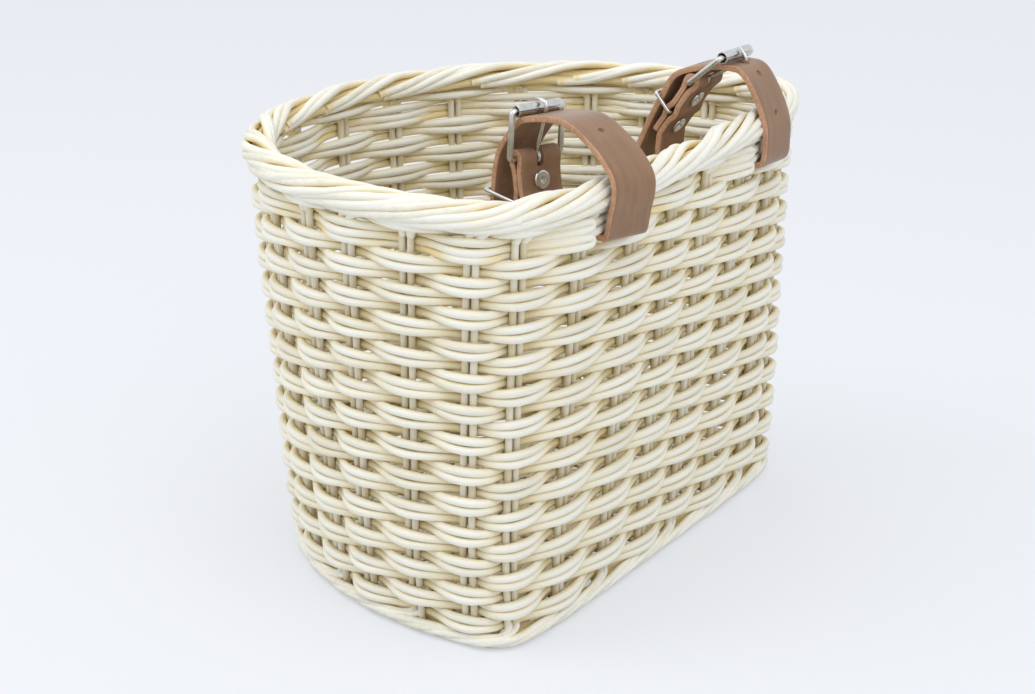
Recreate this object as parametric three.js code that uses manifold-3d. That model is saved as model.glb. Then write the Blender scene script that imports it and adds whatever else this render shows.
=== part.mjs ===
import * as THREE from "three";
import { mergeVertices } from "three/addons/utils/BufferGeometryUtils.js";
import Module from "manifold-3d";

const wasm = await Module();
wasm.setup();

// A woven handlebar basket. Sizes are in millimetres, +Z is up, X runs along the handlebar,
// the flat back wall with the two straps is at +Y and the curved front wall at -Y.
const clearance = 0.3;

// The wall's centre line in plan, at the floor and at the top of the weave.
const floorWidth = 297;
const floorDepth = 189;
const floorCornerPower = 5.5;
const floorShoulder = 23;
const floorFrontPower = 1.8;
const topWidth = 322;
const topDepth = 215;
const topCornerPower = 3.3;
const topShoulder = 48;
const topFrontPower = 2.15;
const topShift = 3;
const bellyWidening = 7.5;
const bellyHeight = 45;

// Stakes: pairs of rods, placed along half of the outline, 0 at the back's centre and 0.5 at the front's.
const stakePlaces = [0.0215, 0.0685, 0.121, 0.165, 0.19, 0.227, 0.267, 0.301, 0.345, 0.388, 0.431, 0.475];
const stakeSpread = 0.01;
const rodDiameter = 4.2;
const rodGap = 0.3;
const rodSides = 5;

// Weavers: each row is a doubled reed that passes in front of one stake and behind the next.
const rowCount = 24;
const wallHeight = 180;
const weaverThickness = 3.6;
const floatLength = 11;

// Foot border, rim and base.
const footHeight = 8.25;
const footWidth = 13;
const footFlat = 7;
const rimHeight = 16.8;
const rimWidth = 17;
const rimStrands = 3;
const rimTurns = 8;
const rimTwistDepth = 0.09;
const rimSteps = 72;
const rimSides = 8;
const rimNames = ["left_stakes_and_rim", "front_stakes_and_rim", "right_stakes_and_rim", "back_stakes_and_rim"];
const rimFirstStake = 3;
const baseRise = 0.9;
const baseStick = 2.4;
const baseStickPitch = 21.5;
const baseBand = 2;
const baseBandPitch = 7.5;
const baseFloat = 11;

// Leather straps.
const strapWidth = 25;
const strapThickness = 3;
const strapSteps = 46;
const chapeLength = 34.5;
const holeDiameter = 4;
const tongueHole = 4.4;
const slotWidth = 5;
const slotReach = 7;

// Buckle: a wire frame with a roller, a tongue and a keeper for the strap's tail.
const frameWire = 3;
const frameLength = 23.6;
const rollerDiameter = 6;
const rollerPlay = 2;
const tongueWire = 2.2;
const tongueTip = 8;
const keeperWire = 2;
const keeperDrop = 20.25;
const keeperLift = 15;
const keeperPlay = 0.8;
const wireSides = 8;

// Rivets through both layers of the strap's buckle end.
const rivetDrops = [11, 29.5];
const rivetHead = 9.4;
const rivetHeadThickness = 1.2;
const rivetShank = 3.6;
const rivetDimple = 3.4;

const rattan = new THREE.MeshStandardMaterial({ color: 0xe4d8b6, roughness: 0.6, metalness: 0 });
const rattanDark = new THREE.MeshStandardMaterial({ color: 0xd6c499, roughness: 0.65, metalness: 0 });
const leather = new THREE.MeshStandardMaterial({ color: 0x84553f, roughness: 0.5, metalness: 0 });
const nickel = new THREE.MeshStandardMaterial({ color: 0xc4c7ca, roughness: 0.25, metalness: 1 });

// Heights that follow from the sizes above.
const rowPitch = wallHeight / rowCount;
const rowHeight = rowPitch - clearance;
const firstRowHeight = footHeight + clearance + rowHeight / 2;
const rowsTop = firstRowHeight + (rowCount - 1) * rowPitch + rowHeight / 2;
const strapHeight = rowsTop + clearance + strapThickness / 2;
const waleHeight = strapHeight + strapThickness / 2 + clearance + rowHeight / 2;
const weaveTop = waleHeight + rowHeight / 2;
const rimBottom = weaveTop + clearance;
const rimCentre = rimBottom + rimHeight / 2;
const weaveOffset = rodDiameter / 2 + clearance + weaverThickness / 2;

// One closed outline: a superellipse quarter for each back corner and one for each half of the front.
class Plan {
  constructor(width, depth, cornerPower, shoulder, frontPower) {
    const half = width / 2;
    const widest = depth / 2 - shoulder;
    const steps = 90;
    const points = [];
    for (let i = 0; i <= steps; i++) {
      const t = ((i / steps) * Math.PI) / 2;
      const x = half * Math.sin(t) ** (2 / cornerPower);
      points.push(new THREE.Vector2(x, widest + shoulder * Math.abs(Math.cos(t)) ** (2 / cornerPower)));
    }
    for (let i = 1; i <= steps; i++) {
      const t = ((i / steps) * Math.PI) / 2;
      const x = half * Math.abs(Math.cos(t)) ** (2 / frontPower);
      points.push(new THREE.Vector2(x, widest - (depth - shoulder) * Math.sin(t) ** (2 / frontPower)));
    }
    this.points = points;
    this.lengths = [0];
    for (let i = 1; i < points.length; i++) {
      this.lengths.push(this.lengths[i - 1] + points[i].distanceTo(points[i - 1]));
    }
    this.halfLength = this.lengths[this.lengths.length - 1];
    this.length = 2 * this.halfLength;
  }

  // The point at a share of the way round, from the back's centre towards +X.
  at(share) {
    const turn = share - Math.floor(share);
    const mirrored = turn > 0.5;
    const way = (mirrored ? 1 - turn : turn) * this.length;
    let i = 1;
    while (i < this.lengths.length - 1 && this.lengths[i] < way) i++;
    const part = (way - this.lengths[i - 1]) / (this.lengths[i] - this.lengths[i - 1]);
    const point = this.points[i - 1].clone().lerp(this.points[i], part);
    return mirrored ? point.set(-point.x, point.y) : point;
  }
}

const floorPlan = new Plan(floorWidth, floorDepth, floorCornerPower, floorShoulder, floorFrontPower);
const topPlan = new Plan(topWidth, topDepth, topCornerPower, topShoulder, topFrontPower);

function wallCentre(share, height) {
  const rise = height / weaveTop;
  const point = floorPlan.at(share).lerp(topPlan.at(share), rise);
  const belly = height < bellyHeight ? height / bellyHeight : (weaveTop - height) / (weaveTop - bellyHeight);
  point.x *= 1 + (bellyWidening / floorWidth) * Math.max(0, belly);
  point.y += topShift * rise;
  return point;
}

function wallLength(height) {
  return floorPlan.length + (topPlan.length - floorPlan.length) * (height / weaveTop);
}

function wallNormal(share, height) {
  const step = 0.002;
  const along = wallCentre(share + step, height).sub(wallCentre(share - step, height)).normalize();
  return new THREE.Vector2(-along.y, along.x);
}

// A point beside the wall's centre line: offset is positive outwards.
function wallPoint(share, height, offset) {
  const point = wallCentre(share, height).addScaledVector(wallNormal(share, height), offset);
  return new THREE.Vector3(point.x, point.y, height);
}

// Where a stake stands, with the stakes a little further round the corners at the floor.
function stakeShare(place, height) {
  return place + stakeSpread * Math.sin(2 * Math.PI * place) * (1 - height / weaveTop);
}

const stakes = [...stakePlaces, ...stakePlaces.map((place) => 1 - place).reverse()];

// A closed mesh through equal rings of points, either joined end to end or capped.
function loft(rings, closed) {
  const count = rings[0].length;
  const points = rings.flat();
  const faces = [];
  const spans = closed ? rings.length : rings.length - 1;
  for (let i = 0; i < spans; i++) {
    const here = i * count;
    const next = ((i + 1) % rings.length) * count;
    for (let k = 0; k < count; k++) {
      const k2 = (k + 1) % count;
      faces.push([here + k, here + k2, next + k2], [here + k, next + k2, next + k]);
    }
  }
  if (!closed) {
    const last = (rings.length - 1) * count;
    for (let k = 1; k < count - 1; k++) {
      faces.push([0, k + 1, k], [last, last + k, last + k + 1]);
    }
  }
  const volume = faces.reduce((sum, [a, b, c]) => {
    return sum + points[a].dot(new THREE.Vector3().crossVectors(points[b], points[c]));
  }, 0);
  const order = volume < 0 ? faces.map(([a, b, c]) => [a, c, b]) : faces;
  const geometry = new THREE.BufferGeometry().setFromPoints(points);
  geometry.setIndex(order.flat());
  return geometry;
}

function toSolid(geometry) {
  const bare = geometry.clone();
  bare.deleteAttribute("normal");
  bare.deleteAttribute("uv");
  const merged = mergeVertices(bare, 1e-4);
  const triVerts = merged.index ? merged.index.array : [...merged.attributes.position.array.keys()];
  return new wasm.Manifold(
    new wasm.Mesh({
      numProp: 3,
      vertProperties: new Float32Array(merged.attributes.position.array),
      triVerts: new Uint32Array(triVerts),
    }),
  );
}

function fromSolid(solid) {
  const mesh = solid.getMesh();
  const geometry = new THREE.BufferGeometry();
  geometry.setAttribute("position", new THREE.BufferAttribute(mesh.vertProperties, 3));
  geometry.setIndex(new THREE.BufferAttribute(mesh.triVerts, 1));
  return geometry;
}

function join(geometries) {
  return fromSolid(geometries.map(toSolid).reduce((all, solid) => all.add(solid)));
}

function cut(geometry, tools) {
  return fromSolid(tools.map(toSolid).reduce((rest, tool) => rest.subtract(tool), toSolid(geometry)));
}

// A round wire through points that lie in one plane, whose normal is given.
function wire(points, diameter, normal, closed, sides = wireSides) {
  const count = points.length;
  const rings = points.map((point, i) => {
    const before = closed || i > 0 ? points[(i - 1 + count) % count] : point;
    const after = closed || i < count - 1 ? points[(i + 1) % count] : point;
    const inward = point.clone().sub(before).normalize();
    const outward = after.clone().sub(point).normalize();
    const along = inward.clone().add(outward).normalize();
    const straight = i === 0 || i === count - 1 ? !closed : false;
    const mitre = straight ? 1 : 1 / Math.max(0.5, along.dot(outward));
    const side = new THREE.Vector3().crossVectors(normal, along).normalize();
    return Array.from({ length: sides }, (_, k) => {
      const angle = (2 * Math.PI * (k + 0.5)) / sides;
      return point
        .clone()
        .addScaledVector(side, (Math.cos(angle) * mitre * diameter) / 2)
        .addScaledVector(normal, (Math.sin(angle) * diameter) / 2);
    });
  });
  return loft(rings, closed);
}

function piece(name, geometry, material, parent) {
  const shown = geometry.index ? geometry.toNonIndexed() : geometry;
  shown.computeVertexNormals();
  const mesh = new THREE.Mesh(shown, material);
  mesh.name = name;
  parent.add(mesh);
  return mesh;
}

const basket = new THREE.Group();

// Weave rows and the wale under the rim.
function weaveRow(height, phase) {
  const half = floatLength / 2 / wallLength(height);
  const rings = stakes.flatMap((place, index) => {
    const share = stakeShare(place, height);
    const middle = wallCentre(share, height);
    const chord = wallCentre(share - half, height).add(wallCentre(share + half, height)).multiplyScalar(0.5);
    const bulge = middle.sub(chord).dot(wallNormal(share, height));
    const offset = ((index + phase) % 2 ? -weaveOffset : weaveOffset) + bulge;
    return [share - half, share + half].map((place) => {
      const inner = offset - weaverThickness / 2;
      const outer = offset + weaverThickness / 2;
      const low = height - rowHeight / 2;
      const high = height + rowHeight / 2;
      return [
        wallPoint(place, low, inner),
        wallPoint(place, low, outer),
        wallPoint(place, high, outer),
        wallPoint(place, high, inner),
      ];
    });
  });
  return loft(rings, true);
}

for (let row = 0; row < rowCount; row++) {
  const height = firstRowHeight + row * rowPitch;
  piece(`weave_row_${String(row + 1).padStart(2, "0")}`, weaveRow(height, row), rattan, basket);
}
piece("top_wale", weaveRow(waleHeight, rowCount), rattan, basket);

// The stakes rise through the weave and end in the rolled rim, which is made in four lengths.
function rod(place, side) {
  const levels = [footHeight + clearance, bellyHeight, (bellyHeight + weaveTop) / 2, rimCentre];
  const points = levels.map((height) => {
    const shift = (side * (rodDiameter + rodGap)) / 2 / wallLength(height);
    return wallPoint(stakeShare(place, height) + shift, height, 0);
  });
  const across = new THREE.Vector3().subVectors(wallPoint(place, rimCentre, 1), wallPoint(place, rimCentre, 0));
  return wire(points, rodDiameter, across, false, rodSides);
}

function rimRoll(start, end) {
  const gap = clearance / 2 / topPlan.length;
  const steps = Math.round((end - start) * rimSteps);
  const rings = Array.from({ length: steps + 1 }, (_, step) => {
    const share = start + gap + ((end - start - 2 * gap) * step) / steps;
    const twist = 2 * Math.PI * rimTurns * share;
    return Array.from({ length: rimSides }, (_, k) => {
      const angle = (2 * Math.PI * (k + 0.5)) / rimSides;
      const swell = (1 + rimTwistDepth * Math.cos(rimStrands * angle + twist)) / (1 + rimTwistDepth);
      const out = (rimWidth / 2) * swell * Math.cos(angle);
      const up = (rimHeight / 2) * swell * Math.sin(angle);
      const point = wallPoint(share, weaveTop, out);
      return point.setZ(rimCentre + up);
    });
  });
  return loft(rings, false);
}

rimNames.forEach((name, i) => {
  const first = rimFirstStake + (i * stakes.length) / rimNames.length;
  const own = Array.from({ length: stakes.length / rimNames.length }, (_, k) => (first + k) % stakes.length);
  const between = (index) => {
    const before = stakes[(index - 1 + stakes.length) % stakes.length];
    const after = stakes[index % stakes.length];
    return before > after ? (before + after + 1) / 2 : (before + after) / 2;
  };
  const start = between(own[0]);
  const end = between(own[own.length - 1] + 1);
  const rods = own.flatMap((index) => [rod(stakes[index], -1), rod(stakes[index], 1)]);
  piece(name, join([rimRoll(start, end < start ? end + 1 : end), ...rods]), rattan, basket);
});

// Foot border with a flat underside, and the woven base inside it.
function footBorder() {
  const profile = [
    [-footFlat / 2, 0],
    [footFlat / 2, 0],
    [footWidth / 2, footHeight * 0.35],
    [footWidth / 2, footHeight * 0.75],
    [footFlat / 2, footHeight],
    [-footFlat / 2, footHeight],
    [-footWidth / 2, footHeight * 0.75],
    [-footWidth / 2, footHeight * 0.35],
  ];
  const rings = stakes.flatMap((place) => {
    return [0, 1].map((half) => {
      const next = stakes[(stakes.indexOf(place) + 1) % stakes.length];
      const gap = next > place ? next - place : next + 1 - place;
      const share = stakeShare(place, 0) + (half * gap) / 2;
      return profile.map(([out, up]) => wallPoint(share, 0, out).setZ(up));
    });
  });
  return loft(rings, true);
}

piece("foot_border", footBorder(), rattan, basket);

// Bands that pass over one stick of the base and under the next, cut to the outline inside the border.
function baseWeave() {
  const sticks = 2 * Math.ceil(floorWidth / 2 / baseStickPitch) + 1;
  const bands = Math.ceil(floorDepth / baseBandPitch);
  const stickUnder = baseRise + baseBand;
  const stickOver = stickUnder + baseStick;
  const rings = Array.from({ length: 2 * bands }, (_, edge) => {
    const band = Math.floor(edge / 2);
    const side = edge % 2 ? 0.5 : -0.5;
    const y = (band - (bands - 1) / 2) * baseBandPitch + side * (baseBandPitch - clearance);
    const line = (low, high) => {
      return Array.from({ length: 2 * sticks }, (_, end) => {
        const stick = Math.floor(end / 2);
        const x = (stick - (sticks - 1) / 2) * baseStickPitch + ((end % 2 ? 1 : -1) * baseFloat) / 2;
        return new THREE.Vector3(x, y, (stick + band) % 2 ? low : high);
      });
    };
    const over = line(stickOver, stickOver + baseBand);
    const under = line(baseRise, stickUnder);
    return [...over, ...under.reverse()];
  });
  const outline = [0, footHeight].map((height) => {
    return Array.from({ length: 2 * stakes.length }, (_, i) => {
      const share = i / (2 * stakes.length);
      return wallPoint(share, 0, -footWidth / 2 - 2 * clearance).setZ(height);
    });
  });
  return fromSolid(toSolid(loft(rings, false)).intersect(toSolid(loft(outline, false))));
}

piece("base_weave", baseWeave(), rattanDark, basket);

// A ribbon of even thickness along a flat centre line, as wide as the strap.
function ribbon(line) {
  const left = [];
  const right = [];
  line.forEach((point, i) => {
    const before = line[Math.max(0, i - 1)];
    const after = line[Math.min(line.length - 1, i + 1)];
    const inward = point.clone().sub(before).normalize();
    const outward = after.clone().sub(point).normalize();
    const along = inward.clone().add(outward).normalize();
    const mitre = strapThickness / 2 / Math.max(0.5, along.dot(i ? inward : outward));
    const side = new THREE.Vector2(-along.y, along.x);
    left.push(point.clone().addScaledVector(side, mitre));
    right.push(point.clone().addScaledVector(side, -mitre));
  });
  const shape = new THREE.Shape([...left, ...right.reverse()]);
  const geometry = new THREE.ExtrudeGeometry(shape, { depth: strapWidth, bevelEnabled: false });
  return geometry.translate(0, 0, -strapWidth / 2).applyMatrix4(sideView);
}

// Flat drawings have the wall's outward direction as x and up as y: this turns them upright.
const sideView = new THREE.Matrix4().makeBasis(
  new THREE.Vector3(0, 1, 0),
  new THREE.Vector3(0, 0, 1),
  new THREE.Vector3(1, 0, 0),
);
const widthways = new THREE.Vector3(1, 0, 0);

function upright(point, width = 0) {
  return new THREE.Vector3(width, point.x, point.y);
}

// How far along a direction from a point the strap's tail is met.
function wayTo(line, from, direction) {
  for (let i = line.length - 1; i > 0; i--) {
    const a = line[i - 1].clone().sub(from);
    const b = line[i].clone().sub(from);
    const crossA = direction.cross(a);
    const crossB = direction.cross(b);
    if (crossA * crossB > 0) continue;
    const meet = a.lerp(b, crossA / (crossA - crossB)).dot(direction);
    if (meet > 0) return meet;
  }
  return frameLength;
}

function turned(vector, degrees) {
  return vector.clone().rotateAround(new THREE.Vector2(), THREE.MathUtils.degToRad(degrees));
}

function rivet(grip) {
  const head = grip / 2 + clearance;
  const edge = head + rivetHeadThickness;
  const outline = [
    [0, -edge],
    [rivetHead / 2 - 0.8, -edge],
    [rivetHead / 2, -head],
    [rivetShank / 2, -head],
    [rivetShank / 2, head],
    [rivetHead / 2, head],
    [rivetHead / 2 - 0.8, edge],
    [rivetDimple / 2, edge],
    [rivetDimple / 2 - 0.6, head],
    [0, head],
  ];
  return new THREE.LatheGeometry(outline.map(([x, y]) => new THREE.Vector2(x, y)), 12);
}

const inner = -(rimWidth / 2);
const outer = rimWidth / 2 + clearance;
const loopTop = rimCentre + rimHeight / 2 - strapHeight;

// Each strap stands in its own frame: x is widthways, y points out of the wall and z is up from the
// level where the strap goes through the weave. The paths are as the soft straps lie.
const betweenStakes = (part) => stakes[1] + part * (stakes[2] - stakes[1]);
const straps = [
  {
    name: "left",
    yaw: 21,
    share: betweenStakes(0.5),
    heel: new THREE.Vector2(-52, loopTop - 1.15),
    chapeLean: 9,
    frameLean: -4.1,
    tongueLean: -17.6,
    slope: 26,
    below: [[-41, -14.5], [-32, -15.5], [-21, -8.5]],
    corner: outer + 2.6,
    loop: [[12.4, 2.6], [14.2, 11], [16.5, 19.3], [16.1, 26.5], [7.9, 35.7], [-6.8, 44.5], [-15.7, 47.8], [-22.7, 48.5]],
    tail: [[-64, 27], [-67, 17], [-68.5, 5], [-69.5, -8]],
    holes: [0.545],
  },
  {
    name: "right",
    yaw: 5,
    share: 1 - betweenStakes(0.43),
    heel: new THREE.Vector2(-31.7, loopTop + 11.4),
    chapeLean: -34.8,
    frameLean: -50.8,
    tongueLean: -64.3,
    slope: 0,
    below: [[-50, -5], [-42, -12.5], [-30, -11.5], [-21, -6]],
    corner: outer + 1,
    loop: [[11.4, 2.6], [11.9, 9.5], [11.9, 17.5], [9.8, 25.4], [4.1, 36.8], [-1.6, 44.7], [-5.1, 46.9]],
    tail: [[-41, 40.5], [-48.5, 29], [-55.5, 16], [-61.5, 3], [-66, -8]],
    holes: [0.47, 0.565],
  },
];

function buildStrap(strap) {
  const stand = new THREE.Group();
  const foot = wallCentre(strap.share, strapHeight);
  stand.position.set(foot.x, foot.y, strapHeight);
  stand.rotation.z = -THREE.MathUtils.degToRad(strap.yaw);
  basket.add(stand);

  const layer = strapThickness / 2 + clearance / 2;
  const spread = frameWire / 2 + clearance + strapThickness / 2;
  const swell = keeperWire / 2 + clearance + strapThickness / 2;
  const flat = rivetHead / 2 + clearance;
  const down = turned(new THREE.Vector2(0, -1), strap.chapeLean);
  const across = new THREE.Vector2(-down.y, down.x);
  const beside = (drop, offset) => {
    return strap.heel.clone().addScaledVector(down, drop).addScaledVector(across, offset);
  };
  const layers = [
    [0, spread],
    [rivetDrops[0] - flat, layer],
    [rivetDrops[0] + flat, layer],
    [keeperDrop - keeperWire * 0.65, swell],
    [keeperDrop + keeperWire * 0.65, swell],
    [rivetDrops[1] - flat, layer],
    [chapeLength, layer],
  ];
  const folded = layers.map(([drop, offset]) => beside(drop, -offset)).reverse();
  const fold = Array.from({ length: 7 }, (_, i) => {
    return strap.heel.clone().add(turned(across, (180 * (7 - i)) / 8).multiplyScalar(spread));
  });
  const main = layers.map(([drop, offset]) => beside(drop, offset));

  // The strap passes under the roller, on its way down into the basket.
  const towards = turned(new THREE.Vector2(0, 1), strap.frameLean);
  const roller = strap.heel.clone().addScaledVector(towards, frameLength);
  const travel = turned(new THREE.Vector2(-1, 0), strap.slope);
  const reach = rollerDiameter / 2 + 2 * clearance + strapThickness / 2;
  const under = new THREE.Vector2(travel.y, -travel.x).multiplyScalar(-reach).add(roller);
  const free = [
    main[main.length - 1],
    ...strap.below.map(([x, y]) => new THREE.Vector2(x, y)),
    new THREE.Vector2(inner - 2 * strapThickness, -strapThickness / 4),
    new THREE.Vector2(inner, 0),
    new THREE.Vector2(0, 0),
    new THREE.Vector2(strap.corner, 0),
    ...strap.loop.map(([x, y]) => new THREE.Vector2(x, y)),
    under.clone().addScaledVector(travel, -rollerDiameter / 2),
    under.clone().addScaledVector(travel, rollerDiameter / 2),
    ...strap.tail.map(([x, y]) => new THREE.Vector2(x, y)),
  ];
  const curve = new THREE.CatmullRomCurve3(
    free.map((point) => new THREE.Vector3(point.x, point.y, 0)),
    false,
    "centripetal",
  );
  const soft = curve
    .getSpacedPoints(strapSteps)
    .slice(1)
    .map((point) => new THREE.Vector2(point.x, point.y));
  const line = [...folded, ...fold, ...main, ...soft];
  const band = ribbon(line);

  // The slot for the tongue, the rivets' holes and the punched holes.
  const punch = (centre, direction, diameter, length) => {
    const tool = new THREE.CylinderGeometry(diameter / 2, diameter / 2, length, 12);
    tool.applyMatrix4(
      new THREE.Matrix4().makeRotationFromQuaternion(
        new THREE.Quaternion().setFromUnitVectors(new THREE.Vector3(0, 1, 0), upright(direction)),
      ),
    );
    const place = upright(centre);
    return tool.translate(place.x, place.y, place.z);
  };
  const tongueWay = turned(new THREE.Vector2(0, 1), strap.tongueLean);
  const eyeRadius = frameWire / 2 + clearance + tongueWire / 2;
  const slotFoot = eyeRadius + tongueWire / 2 + 2 * clearance;
  const slot = new THREE.BoxGeometry(slotWidth, 2 * slotReach, slotReach + slotFoot);
  slot.translate(0, 0, (slotReach - slotFoot) / 2);
  slot.rotateX(THREE.MathUtils.degToRad(strap.chapeLean));
  slot.translate(0, strap.heel.x, strap.heel.y);
  const crossing = strap.heel.clone().addScaledVector(tongueWay, wayTo(soft, strap.heel, tongueWay));
  const tools = [slot, punch(crossing, tongueWay, tongueHole, 7 * strapThickness)];
  rivetDrops.forEach((drop) => {
    tools.push(punch(beside(drop, 0), across, rivetShank + 2 * clearance, 5 * strapThickness));
  });
  strap.holes.forEach((part) => {
    const square = curve.getTangentAt(part);
    const through = new THREE.Vector2(-square.y, square.x);
    tools.push(punch(curve.getPointAt(part), through, holeDiameter, 3 * strapThickness));
  });
  piece(`${strap.name}_strap`, cut(band, tools), leather, stand);

  // Buckle frame: heel bar, two side arms and the front bar that carries the roller.
  const rollerLength = strapWidth + rollerPlay;
  const arm = rollerLength / 2 + 2 * clearance + frameWire / 2;
  const bend = frameWire * 0.5;
  const corners = [
    [-arm + bend, 0],
    [arm - bend, 0],
    [arm, bend],
    [arm, frameLength - bend],
    [arm - bend, frameLength],
    [-arm + bend, frameLength],
    [-arm, frameLength - bend],
    [-arm, bend],
  ];
  const frameNormal = upright(new THREE.Vector2(-towards.y, towards.x));
  const framePoints = corners.map(([width, way]) => {
    return upright(strap.heel.clone().addScaledVector(towards, way), width);
  });
  piece(`${strap.name}_buckle_frame`, wire(framePoints, frameWire, frameNormal, true), nickel, stand);

  const bore = frameWire / 2 + clearance;
  const tube = new THREE.LatheGeometry(
    [
      [bore, -rollerLength / 2],
      [rollerDiameter / 2, -rollerLength / 2],
      [rollerDiameter / 2, rollerLength / 2],
      [bore, rollerLength / 2],
      [bore, -rollerLength / 2],
    ].map(([x, y]) => new THREE.Vector2(x, y)),
    16,
  );
  const rollerMesh = piece(`${strap.name}_roller`, tube.rotateZ(Math.PI / 2), nickel, stand);
  rollerMesh.position.copy(upright(roller));

  // Tongue: an eye round the heel bar, a shank through the strap and a tip over the roller.
  const tipRadius = frameLength + rollerDiameter / 2 + clearance + tongueWire / 2;
  const shank = [strap.heel.clone().addScaledVector(tongueWay, eyeRadius)];
  shank.push(strap.heel.clone().addScaledVector(tongueWay, tipRadius - 2.2));
  const tipAngle = THREE.MathUtils.radToDeg(tongueTip / tipRadius);
  [0.22, 0.6, 1].forEach((part) => {
    shank.push(strap.heel.clone().add(turned(tongueWay, part * tipAngle).multiplyScalar(tipRadius)));
  });
  const eye = Array.from({ length: 12 }, (_, i) => {
    return upright(strap.heel.clone().add(turned(tongueWay, i * 30).multiplyScalar(eyeRadius)));
  });
  const tongue = join([
    wire(eye, tongueWire, widthways, true),
    wire(shank.map((point) => upright(point)), tongueWire, widthways, false),
  ]);
  piece(`${strap.name}_tongue`, tongue, nickel, stand);

  // Keeper: a wire loop from between the two layers to behind the tail.
  const keeperStart = beside(keeperDrop, 0);
  const keeperWay = turned(across.clone().negate(), -keeperLift);
  const tailWay = wayTo(soft, keeperStart, keeperWay);
  const keeperEnd = tailWay + strapThickness / 2 + keeperPlay + keeperWire / 2;
  const keeperArm = strapWidth / 2 + keeperPlay + keeperWire / 2;
  const round = keeperWire * 0.6;
  const loop = [
    [-keeperArm + round, 0],
    [keeperArm - round, 0],
    [keeperArm, round],
    [keeperArm, keeperEnd - round],
    [keeperArm - round, keeperEnd],
    [-keeperArm + round, keeperEnd],
    [-keeperArm, keeperEnd - round],
    [-keeperArm, round],
  ].map(([width, way]) => upright(keeperStart.clone().addScaledVector(keeperWay, way), width));
  const keeperNormal = upright(new THREE.Vector2(-keeperWay.y, keeperWay.x));
  piece(`${strap.name}_keeper`, wire(loop, keeperWire, keeperNormal, true), nickel, stand);

  rivetDrops.forEach((drop, i) => {
    const stud = piece(
      `${strap.name}_rivet_${i ? "lower" : "upper"}`,
      rivet(2 * strapThickness + clearance),
      nickel,
      stand,
    );
    stud.position.copy(upright(beside(drop, 0)));
    stud.quaternion.setFromUnitVectors(new THREE.Vector3(0, 1, 0), upright(across));
  });
}

straps.forEach(buildStrap);

// The origin is under the middle of the whole part, on the surface that it stands on.
const root = new THREE.Group();
root.add(basket);
root.updateMatrixWorld(true);
const box = new THREE.Box3().setFromObject(root);
basket.position.set(-(box.min.x + box.max.x) / 2, -(box.min.y + box.max.y) / 2, -box.min.z);

export default root;
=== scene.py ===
import bisect
import math
import random

import bmesh
import bpy
from mathutils import Matrix, Vector


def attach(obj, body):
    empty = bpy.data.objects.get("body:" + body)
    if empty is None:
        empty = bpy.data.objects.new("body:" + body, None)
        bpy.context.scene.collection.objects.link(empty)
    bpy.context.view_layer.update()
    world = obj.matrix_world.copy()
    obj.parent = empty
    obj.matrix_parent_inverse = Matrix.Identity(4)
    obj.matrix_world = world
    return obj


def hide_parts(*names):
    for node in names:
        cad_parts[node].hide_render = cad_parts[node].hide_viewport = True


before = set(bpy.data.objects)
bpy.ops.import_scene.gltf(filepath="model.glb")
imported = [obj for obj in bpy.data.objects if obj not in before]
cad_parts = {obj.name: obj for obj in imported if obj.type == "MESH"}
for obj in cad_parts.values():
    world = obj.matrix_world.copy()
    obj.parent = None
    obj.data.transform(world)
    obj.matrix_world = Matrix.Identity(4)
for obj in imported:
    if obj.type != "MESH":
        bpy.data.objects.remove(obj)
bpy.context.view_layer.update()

# A woven handlebar basket, in millimetres and in the part's own frame. The shift is the y of the
# middle of its wall there.
MM = 0.001
CLEARANCE = 0.3
BACK_SHIFT = -8.724

# Camera, as the photograph was taken. The lens comes from its focal length in pixels.
CAMERA_AZIMUTH = 118.54
CAMERA_ELEVATION = 17.26
CAMERA_ROLL = 0.47
CAMERA_DISTANCE = 1409.6
CAMERA_AIM = Vector((-23.95, 2.06 + BACK_SHIFT, 87.67))
SENSOR_WIDTH = 36
CAMERA_LENS = 2695.95 / 1035 * SENSOR_WIDTH

# The stakes' places, as shares of the way round from the back's middle, and their shift at the foot.
STAKE_PLACES = [0.0215, 0.0685, 0.121, 0.165, 0.19, 0.227, 0.267, 0.301, 0.345, 0.388, 0.431, 0.475]
STAKES = STAKE_PLACES + [1 - place for place in reversed(STAKE_PLACES)]
STAKE_SPREAD = 0.01

# Heights.
ROW_COUNT = 24
ROW_PITCH = 7.5
FIRST_ROW = 12.15
STRAP_HEIGHT = 190.05
WALE_HEIGHT = 195.45
WEAVE_TOP = 199.05
RIM_CENTRE = 207.75
STAKE_FOOT = 5.5
STAKE_TOP = RIM_CENTRE - 6

# The canes' diameters, distances from their pair's middle, swings outwards, and points per stake.
CANE = 4.6
STAKE_CANE = 3.6
RIM_CANE = 4.4
RIM_FILLING = 5.0
FOOT_CANE = 3.9
FLOOR_CANE = 2.45
ROW_ASIDE = 1.82
STAKE_ASIDE = 2.2
BORDER_ASIDE = 2.1
ROW_SWING = 4.0
TOP_SWING = 3.4
ROW_STEPS = 10

# Straps and buckles.
STRAP_WIDTH = 25
STRAP_THICKNESS = 3
STRAP_EASE = 0.45
CHAPE_LENGTH = 34.5
RIVET_DROPS = [11, 29.5]
RIVET_CAP = 9.4
RIVET_HOLE = 3.8
TONGUE_HOLE = 4.4
SPARE_HOLE = 3.6
FRAME_WIRE = 3
FRAME_LENGTH = 23.6
FRAME_CORNER = 1.9
ROLLER_DIAMETER = 6
ROLLER_LENGTH = 27
TONGUE_WIRE = 2.2
TONGUE_TIP = 8
TONGUE_EYE = FRAME_WIRE / 2 + CLEARANCE + TONGUE_WIRE / 2
KEEPER_WIRE = 2
KEEPER_CORNER = 1.3
KEEPER_DROP = 20.25
KEEPER_LIFT = 15
KEEPER_PLAY = 0.8


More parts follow.
